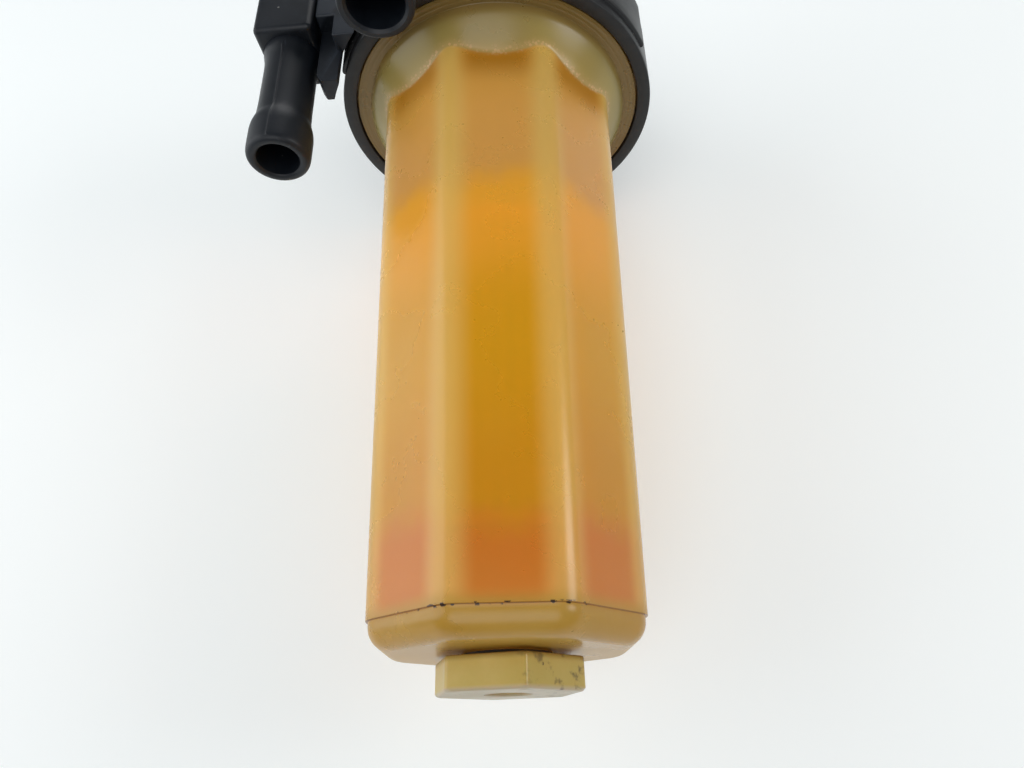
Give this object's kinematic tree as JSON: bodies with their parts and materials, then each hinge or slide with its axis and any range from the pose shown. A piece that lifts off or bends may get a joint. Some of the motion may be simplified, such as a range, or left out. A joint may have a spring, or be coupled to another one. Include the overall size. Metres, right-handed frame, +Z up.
{
  "type": "fuel filter and water separator",
  "caption": "In-line fuel filter and water separator: translucent octagonal bowl with a hex drain plug, hung by a ring nut from a black moulded head with hose ports.",
  "frame": {"origin": "centre of the mounting bracket's back face, midway between its two holes", "axes": "+Z up along the bowl's axis, away from the drain plug; +Y out of the bracket's back face, away from the filter; +X to the right seen from the front"},
  "size_m": [0.0966, 0.0997, 0.2083],
  "materials": {
    "head_black": "moulded glass-filled nylon, satin, with faint flow lines and dust",
    "nut_black": "moulded nylon, satin, worn lighter on the rims",
    "bowl_amber": "translucent aged nylon, semi-gloss, stained amber inside",
    "plug_nylon": "opaque aged nylon with black grit in the corners",
    "seal_rubber": "matt nitrile rubber",
    "plated_steel": "zinc-plated steel, dull",
    "element_plastic": "moulded plastic, satin",
    "element_paper": "resin-stiffened pleated paper, stained by fuel",
    "float_red": "moulded plastic, satin"
  },
  "bodies": {
    "head": {"filter_head": "head_black", "inlet_elbow": "head_black", "elbow_seal": "seal_rubber", "elbow_screw": "plated_steel", "standpipe": "head_black", "standpipe_seal": "seal_rubber", "bowl_seal": "seal_rubber", "mounting_bracket": "plated_steel", "bracket_bolt_left": "plated_steel", "bracket_bolt_right": "plated_steel", "bracket_washer_left": "plated_steel", "bracket_washer_right": "plated_steel"},
    "bowl": {"bowl": "bowl_amber", "element_spring": "plated_steel"},
    "nut_carrier": {"slip_washer": "plated_steel"},
    "ring_nut": {"ring_nut": "nut_black"},
    "float": {"float_ring": "float_red"},
    "element": {"element_top_cap": "element_plastic", "element_grommet": "seal_rubber", "element_media": "element_paper", "element_core": "element_plastic", "element_bottom_cap": "element_plastic"},
    "drain_carrier": {"drain_seal": "seal_rubber"},
    "drain_plug": {"drain_plug": "plug_nylon"},
    "bleed_carrier": {"bleed_seal": "seal_rubber"},
    "bleed_screw": {"bleed_screw": "head_black"}
  },
  "joints": [
    {"name": "bowl_drop", "type": "slide", "parent": "head", "child": "bowl", "axis": [0, 0, -1], "range_m": [0, 0.13]},
    {"name": "nut_travel", "type": "slide", "parent": "bowl", "child": "nut_carrier", "axis": [0, 0, -1], "range_m": [0, 0.0091]},
    {"name": "nut_turn", "type": "hinge", "parent": "nut_carrier", "child": "ring_nut", "pos_m": [0, -0.046, -0.0473], "axis": [0, 0, -1], "range_deg": [0, 810]},
    {"name": "float_rise", "type": "slide", "parent": "bowl", "child": "float", "axis": [0, 0, 1], "range_m": [0, 0.06]},
    {"name": "element_pull", "type": "slide", "parent": "head", "child": "element", "axis": [0, 0, -1], "range_m": [0, 0.008], "deforming": ["element_spring"]},
    {"name": "drain_travel", "type": "slide", "parent": "bowl", "child": "drain_carrier", "axis": [0, 0, -1], "range_m": [0, 0.006]},
    {"name": "drain_turn", "type": "hinge", "parent": "drain_carrier", "child": "drain_plug", "pos_m": [0, -0.046, -0.1943], "axis": [0, 0, -1], "range_deg": [0, 1445]},
    {"name": "bleed_travel", "type": "slide", "parent": "head", "child": "bleed_carrier", "axis": [0, 0, 1], "range_m": [0, 0.003]},
    {"name": "bleed_turn", "type": "hinge", "parent": "bleed_carrier", "child": "bleed_screw", "pos_m": [0.011, -0.06, -0.0123], "axis": [0, 0, 1], "range_deg": [0, 1085]}
  ],
  "couplings": [
    {"joint": "nut_travel", "follows": "nut_turn", "m_per_rad": 0.00063662},
    {"joint": "drain_turn", "follows": "drain_travel", "rad_per_m": 4188.8},
    {"joint": "bleed_turn", "follows": "bleed_travel", "rad_per_m": 6283.2}
  ]
}
